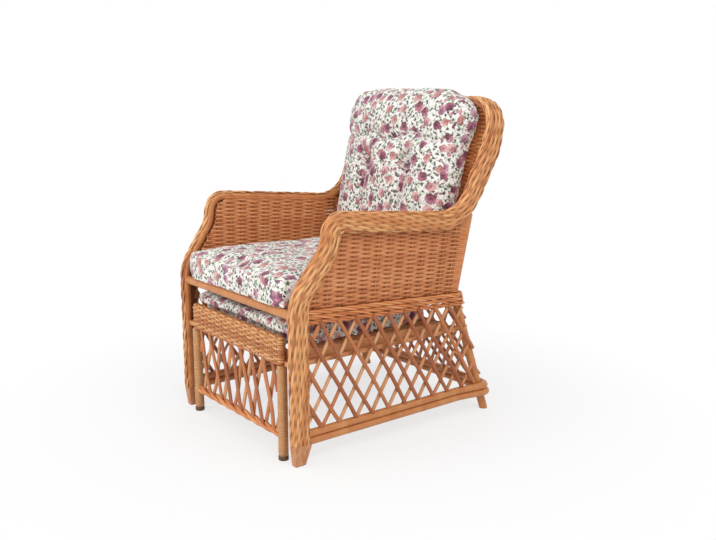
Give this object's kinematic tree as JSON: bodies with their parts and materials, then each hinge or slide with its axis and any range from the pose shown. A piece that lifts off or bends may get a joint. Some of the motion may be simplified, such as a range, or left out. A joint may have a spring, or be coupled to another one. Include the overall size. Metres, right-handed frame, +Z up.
{
  "type": "rattan armchair",
  "caption": "Woven rattan armchair with a plaited border, open lattice base, padded seat and back cushions, and a cushioned footrest that slides out from under the seat.",
  "frame": {"origin": "on the floor, in the middle of the chair's box", "axes": "+Z up, -Y towards the front of the chair, +X to the right for someone looking at its front"},
  "size_m": [0.656, 0.761, 0.9775],
  "materials": {
    "rattan": "varnished rattan pole",
    "plait": "plaited rattan, satin varnish",
    "weave": "woven round cane, satin varnish",
    "timber": "stained wood",
    "cane_wrap": "pole wound with split cane",
    "dark_cap": "dark floor cap",
    "fabric": "cotton with a small floral print"
  },
  "bodies": {
    "chair": {"arm_pole_left": "rattan", "arm_pole_right": "rattan", "back_hoop_pole": "rattan", "rear_post_left": "rattan", "rear_post_right": "rattan", "seat_front_rail": "rattan", "seat_rear_rail": "rattan", "seat_side_rail_left": "rattan", "seat_side_rail_right": "rattan", "bottom_rail_left_lower": "rattan", "bottom_rail_left_upper": "rattan", "bottom_rail_right_lower": "rattan", "bottom_rail_right_upper": "rattan", "bottom_rail_rear_lower": "rattan", "bottom_rail_rear_upper": "rattan", "lattice_left": "rattan", "lattice_right": "rattan", "lattice_back": "rattan", "border_left": "plait", "border_right": "plait", "border_top": "plait", "wale_left": "weave", "wale_right": "weave", "wale_back": "weave", "side_panel_left": "weave", "side_panel_right": "weave", "back_panel": "weave", "front_foot_left": "timber", "front_foot_right": "timber", "seat_slat_1": "timber", "seat_slat_2": "timber", "seat_slat_3": "timber", "seat_slat_4": "timber", "seat_slat_5": "timber", "runner_left": "timber", "runner_right": "timber", "seat_cushion": "fabric", "back_cushion": "fabric"},
    "footrest": {"footrest_bottom_rail": "rattan", "footrest_lattice": "rattan", "footrest_apron": "weave", "footrest_leg_left": "cane_wrap", "footrest_leg_right": "cane_wrap", "footrest_cap_left": "dark_cap", "footrest_cap_right": "dark_cap", "footrest_side_board_left": "timber", "footrest_side_board_right": "timber", "footrest_rear_rail": "timber", "footrest_slat_1": "timber", "footrest_slat_2": "timber", "footrest_slat_3": "timber", "footrest_slat_4": "timber", "footrest_cushion": "fabric"}
  },
  "joints": [
    {"name": "footrest_slide", "type": "slide", "parent": "chair", "child": "footrest", "axis": [0, -1, 0], "range_m": [0, 0.38]}
  ]
}
